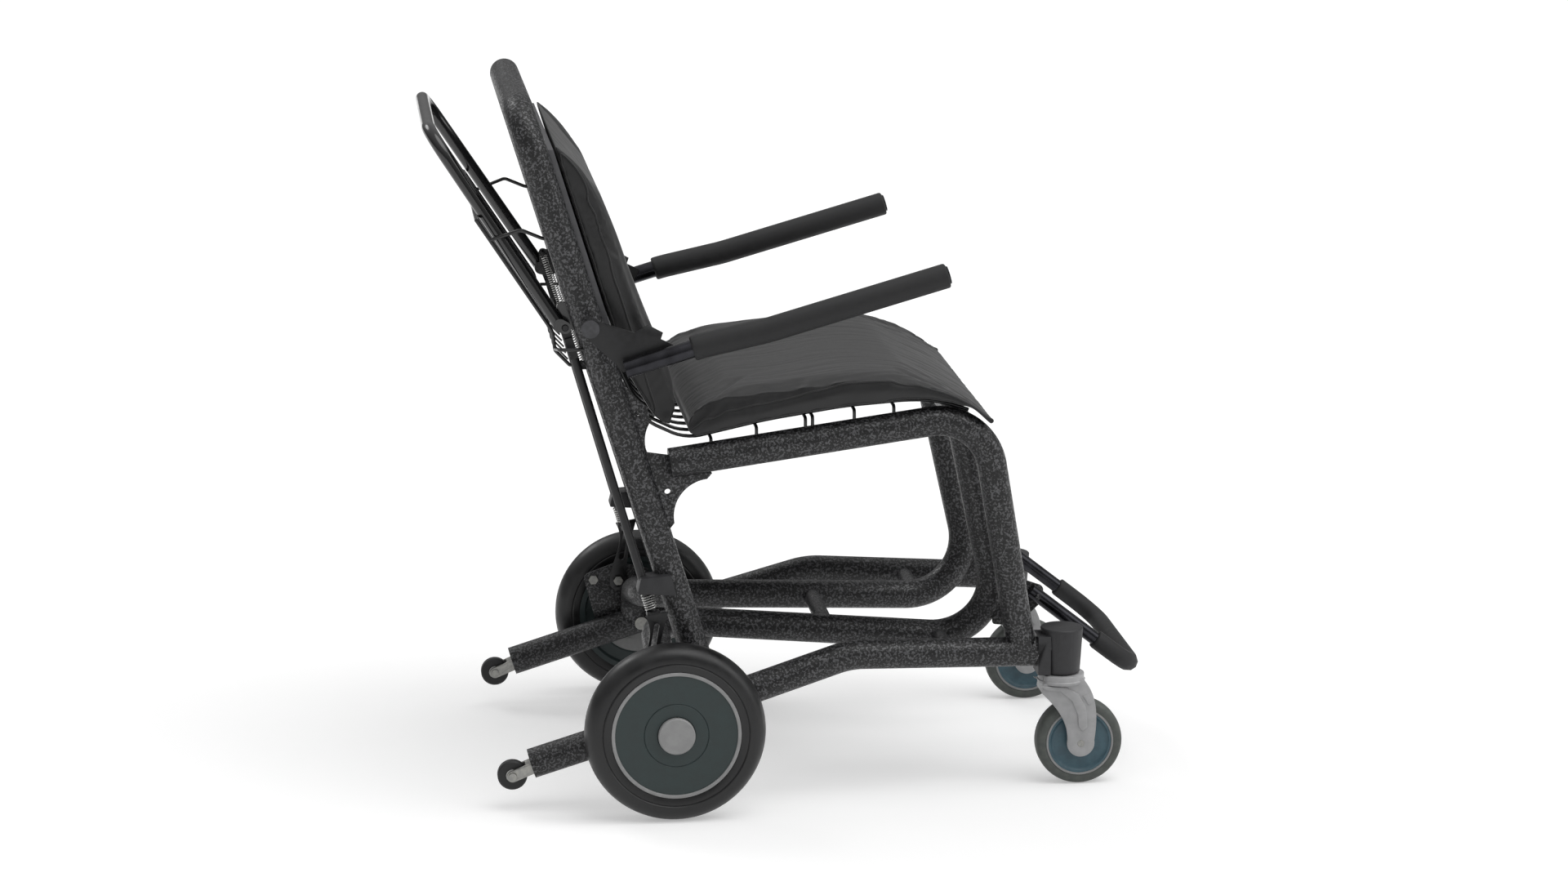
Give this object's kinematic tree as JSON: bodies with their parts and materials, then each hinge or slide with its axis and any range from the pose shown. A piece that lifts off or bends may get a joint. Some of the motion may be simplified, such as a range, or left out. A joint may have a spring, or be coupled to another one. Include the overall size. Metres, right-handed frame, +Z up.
{
  "type": "transport wheelchair",
  "caption": "Tube-framed transport wheelchair with swivel casters, lift-up armrests, fold-up footrest and a push handle that releases the brakes.",
  "frame": {"origin": "on the floor, under the middle of the whole chair", "axes": "+X forward to the footrest, +Y to the sitter's left, +Z up"},
  "size_m": [1.0304, 0.732, 1.0049],
  "materials": {
    "frame_coat": "speckled black powder coat",
    "gloss_coat": "gloss black enamel",
    "rod_coat": "satin black powder coat",
    "plate_coat": "satin black coat",
    "wire_coat": "gloss black coat on wire",
    "dark_chrome": "dark polished plating",
    "zinc_steel": "zinc plated",
    "spring_steel": "bright drawn wire",
    "pin_grey": "turned, satin",
    "moulded_black": "moulded, fine grain",
    "vinyl": "coated upholstery cloth, soft sheen",
    "board_grey": "laminated board, satin",
    "foam": "foam rubber, matte",
    "rear_rubber": "smooth tyre rubber",
    "disc_slate": "moulded, satin",
    "cap_grey": "moulded, semi gloss",
    "fork_grey": "light grey coat",
    "hub_blue_grey": "moulded, semi gloss",
    "caster_rubber": "grey tread rubber",
    "hub_white": "moulded nylon",
    "roller_rubber": "moulded rubber"
  },
  "bodies": {
    "frame": {"back_frame": "frame_coat", "left_side_frame": "frame_coat", "right_side_frame": "frame_coat", "left_outer_rail": "frame_coat", "right_outer_rail": "frame_coat", "left_inner_tube": "frame_coat", "right_inner_tube": "frame_coat", "front_cross_tube": "frame_coat", "mid_strut": "frame_coat", "side_struts": "frame_coat", "left_gusset": "frame_coat", "right_gusset": "frame_coat", "brake_brackets": "frame_coat", "bracket_bolts": "zinc_steel", "rear_axles": "zinc_steel", "rod_guides": "moulded_black", "pivot_pins": "pin_grey", "left_caster_housing": "moulded_black", "right_caster_housing": "moulded_black", "seat_wire_grid": "wire_coat", "back_board": "board_grey", "seat_cushion": "vinyl", "back_cushion": "vinyl", "footrest_brackets": "frame_coat", "chart_basket": "wire_coat", "roller_forks": "zinc_steel", "roller_pins": "zinc_steel", "handle_springs": "spring_steel", "brake_springs": "spring_steel"},
    "handle": {"push_handle": "gloss_coat"},
    "footrest": {"footrest_tube": "dark_chrome", "footrest_grip": "foam"},
    "left_wheel": {"left_rear_tyre": "rear_rubber", "left_wheel_disc": "disc_slate", "left_wheel_cap": "cap_grey"},
    "left_caster_swivel": {"left_caster_fork": "fork_grey", "left_caster_bolt": "zinc_steel"},
    "left_caster_wheel": {"left_caster_hub": "hub_blue_grey", "left_caster_tyre": "caster_rubber"},
    "left_roller_wheel": {"left_roller_hub": "hub_white", "left_roller_tyre": "roller_rubber"},
    "left_armrest": {"left_armrest_plate": "plate_coat", "left_armrest_tube": "dark_chrome", "left_armrest_grip": "foam"},
    "left_brake_link": {"left_brake_rod": "rod_coat", "left_brake_arm": "rod_coat"},
    "right_wheel": {"right_rear_tyre": "rear_rubber", "right_wheel_disc": "disc_slate", "right_wheel_cap": "cap_grey"},
    "right_caster_swivel": {"right_caster_fork": "fork_grey", "right_caster_bolt": "zinc_steel"},
    "right_caster_wheel": {"right_caster_hub": "hub_blue_grey", "right_caster_tyre": "caster_rubber"},
    "right_roller_wheel": {"right_roller_hub": "hub_white", "right_roller_tyre": "roller_rubber"},
    "right_armrest": {"right_armrest_plate": "plate_coat", "right_armrest_tube": "dark_chrome", "right_armrest_grip": "foam"},
    "right_brake_link": {"right_brake_rod": "rod_coat", "right_brake_arm": "rod_coat"}
  },
  "joints": [
    {"name": "left_wheel_spin", "type": "hinge", "parent": "frame", "child": "left_wheel", "pos_m": [-0.18375, 0.336, 0.127], "axis": [0, 1, 0], "continuous": true},
    {"name": "left_caster_turn", "type": "hinge", "parent": "frame", "child": "left_caster_swivel", "pos_m": [0.38125, 0.2227, 0.164], "axis": [0, 0, 1], "continuous": true},
    {"name": "left_caster_spin", "type": "hinge", "parent": "left_caster_swivel", "child": "left_caster_wheel", "pos_m": [0.40725, 0.2227, 0.0625], "axis": [0, 1, 0], "continuous": true},
    {"name": "left_roller_spin", "type": "hinge", "parent": "frame", "child": "left_roller_wheel", "pos_m": [-0.40825, 0.273, 0.053], "axis": [0, 1, 0], "continuous": true},
    {"name": "left_armrest_lift", "type": "hinge", "parent": "frame", "child": "left_armrest", "pos_m": [-0.29446, 0.305, 0.6935], "axis": [0, -1, 0], "range_deg": [0, 95]},
    {"name": "right_wheel_spin", "type": "hinge", "parent": "frame", "child": "right_wheel", "pos_m": [-0.18375, -0.336, 0.127], "axis": [0, 1, 0], "continuous": true},
    {"name": "right_caster_turn", "type": "hinge", "parent": "frame", "child": "right_caster_swivel", "pos_m": [0.38125, -0.2227, 0.164], "axis": [0, 0, 1], "continuous": true},
    {"name": "right_caster_spin", "type": "hinge", "parent": "right_caster_swivel", "child": "right_caster_wheel", "pos_m": [0.40725, -0.2227, 0.0625], "axis": [0, 1, 0], "continuous": true},
    {"name": "right_roller_spin", "type": "hinge", "parent": "frame", "child": "right_roller_wheel", "pos_m": [-0.40825, -0.273, 0.053], "axis": [0, 1, 0], "continuous": true},
    {"name": "right_armrest_lift", "type": "hinge", "parent": "frame", "child": "right_armrest", "pos_m": [-0.29446, -0.305, 0.6935], "axis": [0, -1, 0], "range_deg": [0, 95]},
    {"name": "handle_squeeze", "type": "hinge", "parent": "frame", "child": "handle", "pos_m": [-0.29446, 0, 0.6935], "axis": [0, 1, 0], "range_deg": [0, 10], "stiffness_Nm_per_rad": 30, "springref_deg": -14.32, "deforming": ["handle_springs"]},
    {"name": "left_brake_lift", "type": "slide", "parent": "frame", "child": "left_brake_link", "axis": [-0.277, -0.0694, 0.9584], "range_m": [0, 0.006], "deforming": ["brake_springs"]},
    {"name": "right_brake_lift", "type": "slide", "parent": "frame", "child": "right_brake_link", "axis": [-0.277, 0.0694, 0.9584], "range_m": [0, 0.006]},
    {"name": "footrest_fold", "type": "hinge", "parent": "frame", "child": "footrest", "pos_m": [0.35725, 0, 0.26], "axis": [0, -1, 0], "range_deg": [0, 125]}
  ],
  "couplings": [
    {"joint": "left_brake_lift", "follows": "handle_squeeze", "m_per_rad": 0.03208},
    {"joint": "right_brake_lift", "follows": "handle_squeeze", "m_per_rad": 0.03208}
  ]
}
